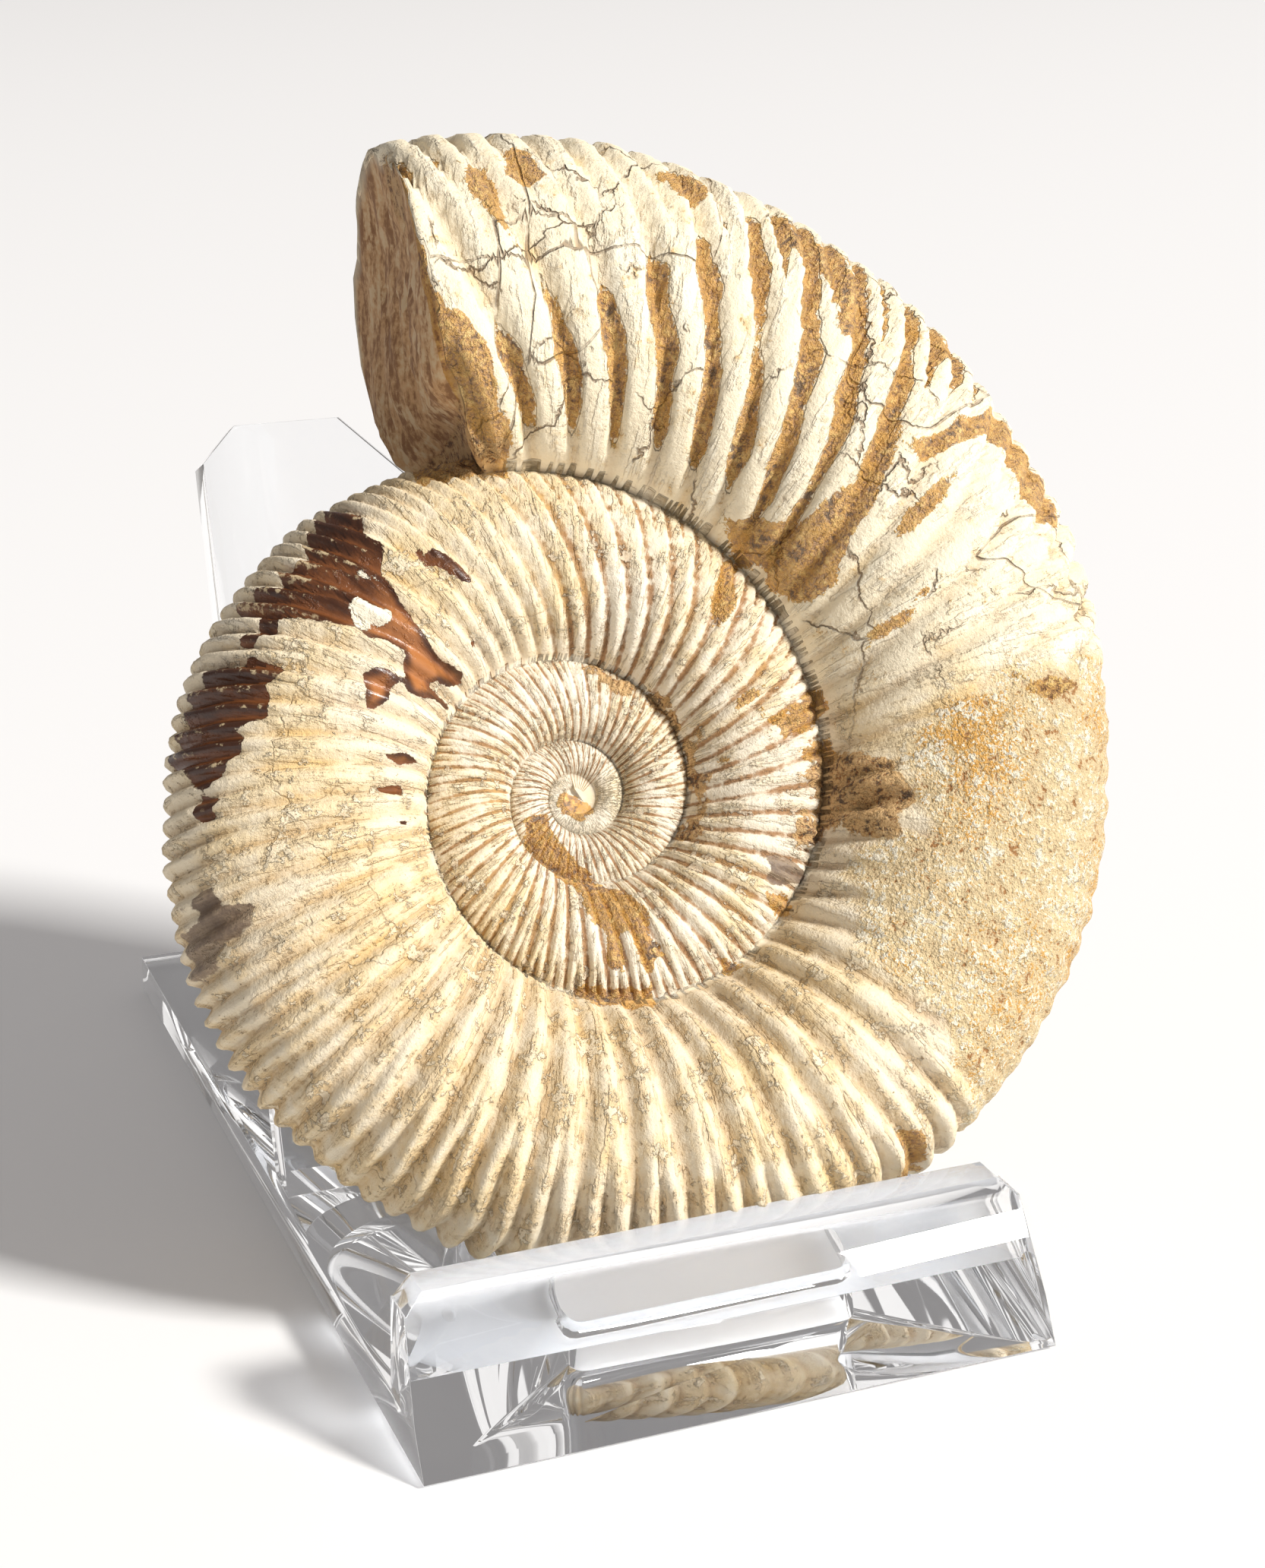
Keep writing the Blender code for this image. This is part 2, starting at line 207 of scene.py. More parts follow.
# Outlines of the patches on the front (1) and the rear (-1), in millimetres from the shell's middle.
patches = {
    "calcite": {
        1: [[(-15.1, 21.3), (-13.3, 20.8), (-13.7, 18.9), (-11.4, 17.4), (-12.7, 17.1), (-13.0, 15.9), (-12.7, 14.9),
             (-11.7, 13.6), (-11.1, 12.8), (-10.6, 11.2), (-9.9, 9.8), (-8.0, 9.0), (-8.0, 8.2), (-10.1, 7.9),
             (-9.2, 6.6), (-11.7, 7.1), (-12.7, 7.7), (-12.4, 8.8), (-12.4, 9.9), (-12.9, 10.8), (-14.6, 11.0),
             (-14.6, 11.9), (-15.6, 11.8), (-16.6, 12.1), (-17.4, 12.7), (-19.0, 13.2), (-19.9, 13.2), (-20.3, 12.3),
             (-21.6, 12.0), (-23.7, 11.9), (-21.7, 12.8), (-21.5, 13.7), (-22.7, 14.6), (-21.1, 15.7), (-19.7, 15.5),
             (-19.4, 16.9), (-17.5, 17.5), (-17.5, 18.5), (-16.6, 19.8)],
            [(-15.5, 9.3), (-13.0, 8.7), (-13.0, 8.1), (-13.8, 6.8), (-14.5, 6.0), (-15.3, 6.6), (-15.5, 7.7)],
            [(-24.9, 10.8), (-22.4, 10.6), (-19.4, 9.9), (-21.4, 8.7), (-22.0, 6.5), (-24.1, 6.0), (-23.7, 5.3),
             (-24.2, 4.2), (-26.1, 2.2), (-27.5, 2.9), (-27.4, 3.6), (-28.2, 4.8), (-27.6, 5.6), (-26.9, 7.2),
             (-26.1, 9.0)],
            [(-26.8, 2.1), (-25.5, 1.7), (-25.9, 0.5), (-27.2, -0.3), (-27.4, 1.3)],
            [(-10.3, 17.0), (-8.9, 17.2), (-7.9, 16.4), (-6.8, 14.5), (-8.4, 14.9), (-8.9, 15.8), (-10.0, 16.3)],
            [(-14.8, 3.3), (-13.0, 3.4), (-11.2, 2.8), (-12.8, 2.5)],
            [(-15.3, 1.2), (-12.7, 1.4), (-12.8, 0.8), (-15.0, 0.5)],
            [(-8.0, 11.0), (-6.5, 10.8), (-6.6, 10.1), (-7.7, 10.1)], [(-14.7, -1.2), (-13.1, -1.1), (-13.6, -1.7)]],
        -1: [[(14.0, -9.0), (18.5, -8.0), (22.5, -12.0), (21.0, -15.5), (16.5, -13.0), (13.5, -15.0), (12.0, -12.0)],
             [(-23.5, -2.0), (-20.5, -3.5), (-21.5, -8.5), (-24.0, -9.0)], [(-10.5, 21.0), (-6.0, 22.0),
              (-7.5, 24.0)],
             [(25.0, 12.0), (28.0, 14.5), (26.5, 16.5)]],
    },
    "slate": {
        1: [[(-26.7, -4.2), (-26.2, -5.3), (-24.2, -5.8), (-24.7, -7.1), (-26.4, -8.0), (-26.6, -8.8), (-26.6, -9.7),
             (-27.5, -10.0), (-28.3, -9.0), (-28.4, -7.7), (-28.4, -6.7), (-27.6, -6.3), (-28.4, -5.2),
             (-27.5, -4.4)],
            [(11.6, -6.2), (12.6, -6.3), (15.0, -7.4), (14.2, -8.1), (12.3, -8.2), (11.2, -8.1)]],
        -1: [[(2.0, -27.0), (5.0, -26.0), (6.0, -29.0), (3.0, -30.5)]],
    },
    "ochre": {
        1: [[(-1.3, 0.3), (-0.2, 0.6), (1.1, -0.2), (0.9, -1.3), (-0.2, -1.8), (-1.3, -1.2)],
            [(-4.3, -1.5), (-2.5, -0.8), (-2.1, -2.5), (-1.7, -4.0), (-0.7, -5.3), (0.8, -6.4), (2.0, -7.6),
             (2.8, -9.3),
             (2.8, -10.6), (4.1, -12.2), (2.9, -12.4), (2.5, -14.0), (1.7, -11.7), (1.1, -10.1), (0.6, -10.6),
             (0.6, -12.6), (-0.6, -12.6), (-0.5, -10.3), (-1.1, -9.4), (-1.1, -8.2), (-2.1, -6.9), (-3.1, -5.2),
             (-4.0, -3.9), (-4.5, -2.6)],
            [(-2.8, -14.3), (-1.4, -15.0), (0.6, -15.3), (2.6, -15.3), (2.6, -14.4), (1.2, -14.3), (-0.8, -14.2),
             (-2.3, -13.6)],
            [(5.3, -14.8), (6.5, -14.3), (7.8, -14.0), (8.9, -13.6), (7.5, -12.7), (7.7, -13.5), (5.9, -13.9)],
            [(17.5, 5.4), (18.0, 3.9), (16.8, 2.6), (14.1, 2.0), (13.8, 3.4), (15.9, 4.6)],
            [(11.0, 4.8), (11.8, 5.7), (13.2, 5.9), (12.6, 5.0), (11.0, 4.3)], [(11.7, 3.5), (12.9, 4.3),
             (12.5, 3.1)],
            [(8.8, 0.9), (9.5, 1.4), (10.3, 0.9), (9.4, 0.5)], [(15.3, 1.1), (17.6, 1.5), (17.9, 0.1), (15.9, 0.4)],
            [(-9.0, 32.5), (-5.4, 31.6), (-4.6, 28.5), (-3.2, 25.4), (-2.8, 22.4), (-9.0, 22.4)],
            [(-4.2, 40.6), (-3.2, 40.4), (-1.4, 36.6), (-2.0, 36.4)],
            [(-0.9, 45.2), (0.8, 44.8), (1.6, 42.2), (-0.2, 40.9), (-1.5, 42.1)],
            [(-4.6, 43.6), (-2.3, 43.0), (-2.2, 38.8), (-3.6, 39.3), (-4.7, 41.4)],
            [(11.8, 17.7), (14.7, 17.2), (16.9, 16.5), (19.9, 18.3), (22.0, 20.8), (24.6, 23.8), (23.4, 20.5),
             (22.2, 18.1), (20.8, 16.1), (19.4, 14.0), (18.7, 12.2), (17.2, 11.2), (15.2, 12.7), (14.1, 14.3),
             (12.6, 16.0)],
            [(24.3, 20.7), (26.6, 21.6), (30.8, 23.6), (33.6, 24.4), (36.8, 19.0), (37.0, 14.8), (35.2, 15.0),
             (33.2, 17.3), (32.6, 20.3), (31.2, 21.9), (27.2, 20.1), (24.8, 19.6)],
            [(28.1, 18.8), (26.2, 16.2), (22.0, 13.8), (23.1, 15.5), (25.2, 17.4)],
            [(26.2, 11.7), (23.1, 8.5), (20.1, 7.0), (20.0, 8.2), (22.0, 9.1), (24.1, 10.9)],
            [(17.3, 38.4), (19.8, 38.0), (22.4, 35.8), (25.0, 33.0), (22.8, 29.4), (20.7, 28.6), (21.3, 32.6),
             (19.3, 34.6)],
            [(10.2, 12.9), (12.1, 15.3), (13.2, 14.8), (11.8, 11.9), (10.1, 10.0)],
            [(9.7, 42.7), (12.0, 42.9), (14.5, 41.2), (12.9, 40.0), (11.0, 40.2)],
            [(29.6, 4.3), (30.4, 3.3), (32.7, 3.9), (35.2, 3.1), (32.9, 1.6), (30.1, 2.3)],
            [(11.3, -8.6), (12.1, -8.6), (13.6, -9.6), (13.0, -10.6), (12.0, -10.4), (11.0, -9.7)],
            [(16.9, -26.6), (18.9, -26.3), (20.4, -29.0), (18.0, -29.6)]],
        -1: [[(-18.0, 18.0), (-13.0, 19.5), (-10.0, 15.5), (-13.5, 14.5)], [(21.0, 2.0), (24.0, 4.0), (27.0, 9.0),
              (22.5, 8.0)],
             [(-5.0, -9.0), (0.5, -8.0), (1.0, -11.5), (-3.0, -12.5)], [(8.0, 30.5), (11.0, 34.5), (12.5, 33.0),
              (10.0, 29.0)],
             [(-26.0, 6.5), (-22.5, 8.5), (-23.5, 10.0)], [(3.0, 24.0), (5.5, 30.0), (7.0, 28.0), (5.0, 23.5)]],
    },
    "crust": {
        1: [[(14.3, -1.3), (16.6, -0.4), (17.9, 0.2), (19.2, -0.3), (21.0, -1.8), (21.6, -3.9), (20.8, -5.6),
             (18.8, -6.4),
             (17.6, -5.0), (16.7, -5.1), (14.1, -5.4), (13.9, -3.9), (16.5, -3.6), (16.5, -2.5)],
            [(1.1, 8.6), (2.8, 8.4), (4.8, 7.6), (6.4, 6.2), (7.7, 4.5), (8.5, 2.1), (8.6, -0.6), (7.7, -3.8),
             (6.9, -3.7),
             (7.7, -0.4), (7.7, 2.0), (6.8, 4.2), (5.4, 5.7), (3.8, 7.0), (1.9, 7.9)],
            [(-6.6, 24.2), (-3.4, 24.4), (-3.8, 22.6), (-6.4, 22.4)]],
        -1: [[(-17.5, -1.0), (-15.0, -0.5), (-14.5, -3.5), (-17.0, -4.0)], [(5.0, 14.5), (7.0, 14.5), (6.5, 13.0)]],
    },
    "chalk": {
        1: [[(-14.9, 16.4), (-13.6, 16.0), (-12.7, 14.8), (-14.4, 15.1)],
            [(-15.7, 13.4), (-14.9, 14.3), (-14.3, 13.1), (-14.7, 12.1), (-15.9, 11.8), (-15.3, 12.8)],
            [(-14.4, 13.5), (-13.6, 13.1), (-12.6, 13.9), (-12.9, 12.3), (-14.0, 12.1), (-14.8, 11.2), (-15.0, 11.9),
             (-14.2, 12.7)]],
        -1: [[(15.5, -12.0), (17.5, -11.0), (17.0, -10.0)]],
    },
    "worn": {
        1: [[(21.8, 0.6), (24.8, 3.1), (30.0, 4.8), (48.0, 6.0), (48.0, -14.0), (36.0, -27.0), (24.5, -30.0),
             (22.5, -25.0),
             (20.0, -18.6), (16.2, -15.0), (16.3, -9.9), (16.9, -5.8), (20.7, -5.5)]],
        -1: [[(16.0, 4.0), (48.0, 8.0), (48.0, -6.0), (30.0, -10.0), (18.0, -6.0)]],
    },
}


# Long cracks run along the edges of these plates, which reach past the shell's rim.
crackedPlates = [
    [(-12, 35.2), (-6, 35.6), (-3.8, 35.7), (-1, 35.8), (1.9, 36.1), (5.3, 35.9), (8.2, 35.7), (12, 34.3),
     (13.4, 37.5),
     (14.3, 41), (17, 52), (-12, 54)],
    [(-0.3, 54), (-0.3, 40.6), (-0.7, 38.2), (-1, 35.8), (-1.2, 33.1), (-1.8, 30.6), (-2, 28.2), (-3.6, 24),
     (-4.5, 18),
     (-16, 18), (-16, 54)],
    [(-3.2, 38.4), (2.2, 38.8), (2.9, 35.9), (3.4, 33.6), (3.7, 31.8), (3.0, 29.9), (0.5, 28.8), (-1.9, 28.3),
     (-3.9, 29.0), (-3.6, 33.0)],
    [(27, 50), (24.6, 36), (23.7, 32.6), (23.1, 29.6), (21.1, 26.5), (21.9, 24), (23.5, 22.8), (25.6, 21.4),
     (27.9, 22.8),
     (31.2, 24.3), (48, 34)],
    [(52, 17), (36.5, 16.1), (31.7, 15.2), (28.5, 12.6), (31.5, 11.8), (32.8, 9.6), (35.2, 9.1), (52, 8)],
]


def depthInside(outline, x, y):
    nearest = np.full(x.shape, 9.0)
    within = np.zeros(x.shape, bool)
    for (ax, ay), (bx, by) in zip(outline, outline[1:] + outline[:1]):
        along = ((x - ax) * (bx - ax) + (y - ay) * (by - ay)) / ((bx - ax) ** 2 + (by - ay) ** 2)
        along = np.clip(along, 0, 1)
        nearest = np.minimum(nearest, np.hypot(x - ax - along * (bx - ax), y - ay - along * (by - ay)))
        within ^= ((ay > y) != (by > y)) & (x < ax + (bx - ax) * (y - ay) / ((by - ay) or 1e-9))
    return np.where(within, nearest, -nearest)


def patchField(kind, places, side, ragged=0.3):
    x, y = places[..., 0] / mm, places[..., 1] / mm
    field = np.full(x.shape, -9.0)
    for facing, outlines in patches[kind].items():
        for outline in outlines:
            field = np.where(side == facing, np.maximum(field, depthInside(outline, x, y)), field)
    rough = ragged * (medium.at(places, 1.7 * mm) + 0.7 * fine.at(places, 0.8 * mm))
    return np.clip(field + rough * np.clip(1.5 + field, 0, 1), -3, 3)


def crackField(places, side):
    x, y = places[..., 0] / mm, places[..., 1] / mm
    wander = 0.35 * medium.at(places, 1.6 * mm) + 0.2 * fine.at(places, 0.7 * mm)
    field = np.full(x.shape, 9.0)
    for outline in crackedPlates:
        depth = depthInside(outline, x + wander, y + wander)
        field = np.sign(field) * np.sign(depth) * np.minimum(abs(field), abs(depth))
    return np.where(side == 1, np.clip(field, -3, 3), 3)


relief = {
    "flakeStep": 0.22 * mm,
    "broadSwell": 0.2 * mm,
    "smallSwell": 0.1 * mm,
    "grain": 0.055 * mm,
    "wornGrain": 0.1 * mm,
    "calciteDrop": 0.14 * mm,
    "ochreDrop": 0.1 * mm,
    "crustRise": 0.25 * mm,
    "crustLumps": 0.5 * mm,
    "ribUnevenness": 0.4,
    "wornRibLoss": 0.8,
}


# The finished surface, and signed fields that the material reads, above 0 inside each patch.
def surface(back, across, side):
    base = smoothPlace(back, across, side)
    shape, size = ribShape(back, across, base)
    slabs = 1 - ease(1.45, 1.85, back + 0.2 * coarse.at(base, 9 * mm))
    worn = ease(-1.2, 2.0, patchField("worn", base, side, 1.1)) * ease(2.9, 2.6, back)
    calcite = patchField("calcite", base, side)
    slate = patchField("slate", base, side)
    ochre = patchField("ochre", base, side, 0.42)
    crust = patchField("crust", base, side, 0.8)
    chalk = patchField("chalk", base, side, 0.2)
    # On the youngest third the white layer has flaked out of the grooves, least of all by the broken end.
    reach = 0.34 + 0.62 * ease(0.25, 0.75, back)
    bare = shape + 0.12 + 0.6 * medium.mixed(base, 3.2 * mm) + 0.42 * fine.mixed(base, 1.2 * mm, 2)
    bare = bare + 1.5 * ease(0.13, 0.05, across) + 1.3 * ease(reach - 0.06, reach + 0.12, across)
    bare = bare - 1.0 * ease(0.7, 0.9, across) * ease(0.1, 0.6, coarse.at(base, 6 * mm))
    flaked = slabs * ease(1.2, 0.95, back)
    layer = flaked * bare + (1 - flaked) * 1.4
    plate = np.tanh(2.6 * (shape + 0.4)) / np.tanh(2.6 * 1.4)
    size = size * (1 + relief["ribUnevenness"] * medium.at(base, 6 * mm) * ease(0.3, 0.8, across))
    lift = size * (shape * (1 - slabs) + 0.75 * plate * slabs) * (1 - relief["wornRibLoss"] * worn)
    lift = lift + slabs * relief["flakeStep"] * (ease(-0.12, 0.12, layer) - 0.6)
    lift = lift + relief["broadSwell"] * coarse.at(base, 10 * mm) + relief["smallSwell"] * medium.at(base, 4 * mm)
    lift = lift + (relief["grain"] + relief["wornGrain"] * worn) * fine.mixed(base, 1.3 * mm)
    lift = lift - relief["calciteDrop"] * ease(-0.1, 0.12, calcite) - relief["ochreDrop"] * ease(-0.1, 0.1, ochre)
    lumps = relief["crustRise"] + relief["crustLumps"] * fine.mixed(base, 1.1 * mm)
    lift = lift + ease(-0.2, 0.5, crust) * lumps
    # Small inner turns take less of it, and it fades out where a turn meets the next.
    inner = np.clip(np.hypot(base[..., 0], base[..., 1]) / (12 * mm), 0.15, 1)
    lift = lift * np.where(back > fullTurn, inner, 1)
    lift = lift * (0.15 + 0.85 * ease(0, 0.07, across))
    lift = lift * np.where(back > fullTurn, 0.3 + 0.7 * ease(seamShare, seamShare - 0.08, across), 1)
    onSeam = (across < 1e-6) | ((back > fullTurn - 1e-6) & (across > seamShare - 1e-6))
    lift = np.where(onSeam, 0, lift)
    marks = {"rib": shape, "layer": layer, "calcite": calcite, "slate": slate, "ochre": ochre, "crust": crust,
             "chalk": chalk, "worn": worn, "back": back, "across": across,
             "face": np.zeros_like(back), "split": crackField(base, side)}
    return base + outward(back, across, side) * lift[..., None], marks


# Columns lie closer together at both ends.
def spread(count, first, last):
    share = np.linspace(0, 1, count + 1)
    eased = 0.3 * share + 0.7 * (1 - np.cos(np.pi * share)) / 2
    return first + (last - first) * eased


def layGrid(name, places, marks):
    rows, columns = places.shape[:2]
    bpy.ops.mesh.primitive_grid_add(x_subdivisions=columns - 1, y_subdivisions=rows - 1, size=0.01)
    strip = bpy.context.object
    strip.name = name
    strip.data.vertices.foreach_set("co", places.reshape(-1))
    for mark, values in marks.items():
        attribute = strip.data.attributes.new(mark, "FLOAT", "POINT")
        attribute.data.foreach_set("value", np.ascontiguousarray(values, np.float32).reshape(-1))
    strip.data.update()
    return strip


def wholeTurnGrid():
    across, side = [], []
    for facing in (1, -1):
        flank = spread(shell["seamColumns"][facing], 0, seamShare)
        edge = seamShare + (1 - seamShare) * np.sin(
            np.linspace(0, np.pi / 2, shell["venterColumns"][facing] + 1))
        line = np.concatenate([flank, edge[1:]])
        across.append(line if facing == 1 else line[-2::-1])
        side.append(np.full(len(across[-1]), float(facing)))
    back = np.linspace(0, fullTurn, shell["rows"] + 1)
    return np.meshgrid(back, np.concatenate(across), indexing="ij"), np.concatenate(side)


(turnBack, turnAcross), turnSide = wholeTurnGrid()
turnSides = np.broadcast_to(turnSide, turnBack.shape)
turnPlaces, turnMarks = surface(turnBack, turnAcross, turnSides)
print("last turn worked out", turnPlaces.shape)

# The broken end runs from the last section to the turn under it, bulging above and hollow at its foot.
brokenFace = {
    "bulge": 2.6,
    "hollow": 2.4,
    "lumps": 0.55,
    "grain": 0.25,
    "foot": 28.5 * mm,
}
outerLine = turnPlaces[0]
frontSeam, rearSeam = shell["seamColumns"][1], turnPlaces.shape[1] - 1 - shell["seamColumns"][-1]
innerLine = turnPlaces[-1, frontSeam:rearSeam + 1]
outerShare = np.linspace(0, 1, len(outerLine))
innerShare = np.linspace(0, 1, len(innerLine))
matched = np.round(outerShare * (len(innerLine) - 1)).astype(int)
innerMatched = np.stack([np.interp(outerShare, innerShare, innerLine[:, axis]) for axis in range(3)], -1)
depth = np.linspace(0, 1, shell["faceLayers"] + 1)[:, None, None]
facePlaces = outerLine[None] * (1 - depth) + innerMatched[None] * depth
tangent = np.array([-math.sin(shell["brokenEnd"]), math.cos(shell["brokenEnd"]), 0])
middle = np.sin(np.pi * depth[..., 0]) ** 0.6 * np.sin(np.pi * outerShare)[None] ** 0.5
faceRadius = np.hypot(facePlaces[..., 0], facePlaces[..., 1])
bulge = brokenFace["bulge"] * ease(44 * mm, 30 * mm, faceRadius)
bulge = bulge - brokenFace["hollow"] * ease(29.5 * mm, 27 * mm, faceRadius)
stretched = facePlaces * np.array([1, 0.35, 1])
rough = brokenFace["lumps"] * medium.mixed(stretched, 3.0 * mm) + brokenFace["grain"] * fine.mixed(facePlaces, 0.9 * mm)
facePlaces = facePlaces + tangent * (middle * (bulge + rough) * mm)[..., None]
facePlaces[-1] = innerLine[matched]
faceMarks = {name: np.zeros(facePlaces.shape[:2]) for name in turnMarks}
faceMarks["face"] += ease(0, 0.06, depth[..., 0] + 0 * middle)
faceMarks["layer"] += 1.4
faceMarks["split"] += 3
for name in ("calcite", "slate", "chalk"):
    faceMarks[name] -= 3
# Orange crust holds along the front edge, a dark lump at the top, and the foot of the face is hollow.
edgeDepth = depth[..., 0] + 0.05 * medium.at(facePlaces, 2.5 * mm)
faceMarks["ochre"] += 3 * ease(0.2, 0.0, edgeDepth) * ease(0.34, 0.24, outerShare) - 1
topLump = ease(0.34, 0.1, edgeDepth) * ease(0.28, 0.36, outerShare) * ease(0.5, 0.44, outerShare)
darkFoot = ease(brokenFace["foot"], brokenFace["foot"] - 2 * mm, faceRadius)
faceMarks["crust"] += np.maximum(2.4 * topLump, 2.6 * darkFoot) - 1

strips = [layGrid("ammonite", turnPlaces, turnMarks)]
for facing in (1, -1):
    back = np.linspace(fullTurn, shell["turns"] * fullTurn, (shell["turns"] - 1) * shell["rows"] + 1)
    columns = spread(shell["seamColumns"][facing], 0, seamShare)
    backGrid, acrossGrid = np.meshgrid(back, columns, indexing="ij")
    sideGrid = np.full(backGrid.shape, float(facing))
    places, marks = surface(backGrid, acrossGrid, sideGrid)
    if facing == -1:
        places, marks = places[:, ::-1], {name: values[:, ::-1] for name, values in marks.items()}
    strips.append(layGrid("innerTurns", places, marks))
strips.append(layGrid("brokenEnd", facePlaces, faceMarks))

bpy.ops.object.select_all(action="DESELECT")
for strip in strips:
    strip.select_set(True)
bpy.context.view_layer.objects.active = strips[0]
bpy.ops.object.join()
ammonite = bpy.context.object
ammonite.name = "ammonite_shell"
ammonite.data.name = "ammonite_shell"
bpy.ops.object.mode_set(mode="EDIT")
bpy.ops.mesh.select_all(action="SELECT")
bpy.ops.mesh.remove_doubles(threshold=2e-6)
bpy.ops.mesh.select_all(action="DESELECT")
bpy.ops.mesh.select_non_manifold(extend=False, use_wire=False, use_multi_face=False, use_non_contiguous=False,
                                 use_verts=False)
# The innermost turn closes on a low boss.
for growth in (0.72, 0.6):
    bpy.ops.mesh.extrude_edges_move()
    bpy.ops.transform.resize(value=(growth, growth, 1), center_override=(0, 0, 0))
bpy.ops.mesh.edge_face_add()
bpy.ops.object.mode_set(mode="OBJECT")
ammonite.data.transform(shellPlace)
bpy.ops.object.mode_set(mode="EDIT")
bpy.ops.mesh.select_all(action="SELECT")
bpy.ops.mesh.normals_make_consistent(inside=False)
bpy.ops.object.mode_set(mode="OBJECT")
bpy.ops.object.shade_smooth()
facesOnEdge = {}
for face in ammonite.data.polygons:
    for edge in face.edge_keys:
        facesOnEdge[edge] = facesOnEdge.get(edge, 0) + 1
print("shell edges without two faces", sum(count != 2 for count in facesOnEdge.values()),
      "triangles", sum(len(face.vertices) - 2 for face in ammonite.data.polygons))
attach(ammonite, "root")
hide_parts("ammonite")
print("shell built")


class Wire:
    def __init__(self, tree, socket=None):
        self.tree = tree
        self.socket = socket

    def node(self, kind, settings=None, sockets=None, output=0):
        made = self.tree.nodes.new(kind)
        for name, value in (settings or {}).items():
            setattr(made, name, value)
        for name, value in (sockets or {}).items():
            if isinstance(value, Wire):
                self.tree.links.new(value.socket, made.inputs[name])
            else:
                made.inputs[name].default_value = value
        return Wire(self.tree, made.outputs[output])

    def maths(self, operation, first, second):
        return self.node("ShaderNodeMath", {"operation": operation}, {0: first, 1: second})

    def __add__(self, other):
        return self.maths("ADD", self, other)

    def __radd__(self, other):
        return self.maths("ADD", other, self)

    def __sub__(self, other):
        return self.maths("SUBTRACT", self, other)

    def __rsub__(self, other):
        return self.maths("SUBTRACT", other, self)

    def __mul__(self, other):
        return self.maths("MULTIPLY", self, other)

    def __rmul__(self, other):
        return self.maths("MULTIPLY", other, self)


def tone(red, green, blue):
    def linear(value):
        value = value / 255
        return value / 12.92 if value <= 0.04045 else ((value + 0.055) / 1.055) ** 2.4
    return linear(red), linear(green), linear(blue), 1.0


def newLook(name):
    look = bpy.data.materials.new(name)
    look.use_nodes = True
    tree = look.node_tree
    return look, Wire(tree), tree.nodes["Principled BSDF"]


def readMark(start, name):
    return start.node("ShaderNodeAttribute", {"attribute_name": name}, output=2)


def ramp(value, low, high):
    return value.node("ShaderNodeMapRange", {"interpolation_type": "SMOOTHSTEP"},
                      {0: value, 1: low, 2: high, 3: 0.0, 4: 1.0})


def blend(factor, first, second):
    return factor.node("ShaderNodeMix", {"data_type": "RGBA"}, {0: factor, 6: first, 7: second}, output=2)


def grain(start, place, size, detail=3.0, roughness=0.55):
    return start.node("ShaderNodeTexNoise", {}, {"Vector": place, "Scale": 1 / size, "Detail": detail,
                                                 "Roughness": roughness}) - 0.5


shellTones = {
    "white": tone(232, 221, 200),
    "cream": tone(226, 204, 162),
    "peach": tone(222, 192, 144),
    "plate": tone(242, 233, 210),
    "grooveTan": tone(170, 132, 86),
    "innerBrown": tone(150, 102, 54),
    "buff": tone(232, 208, 160),
    "buffGrey": tone(212, 188, 146),
    "ochre": tone(211, 156, 70),
    "ochreDark": tone(154, 97, 34),
    "yellow": tone(236, 196, 118),
    "crustBrown": tone(66, 42, 26),
    "crustTan": tone(216, 176, 120),
    "calciteDark": tone(66, 36, 20),
    "calciteBrown": tone(120, 72, 40),
    "calciteGold": tone(168, 108, 60),
    "slateDark": tone(92, 68, 50),
    "slateGrey": tone(158, 136, 112),
    "faceTan": tone(228, 181, 128),
    "faceDark": tone(156, 112, 72),
    "facePale": tone(240, 210, 166),
    "crack": tone(112, 76, 42),
    # Brown for the painted shade, with some dirt, in the crease between turns.
    "seamShadeBrown": tone(88, 56, 30),
}


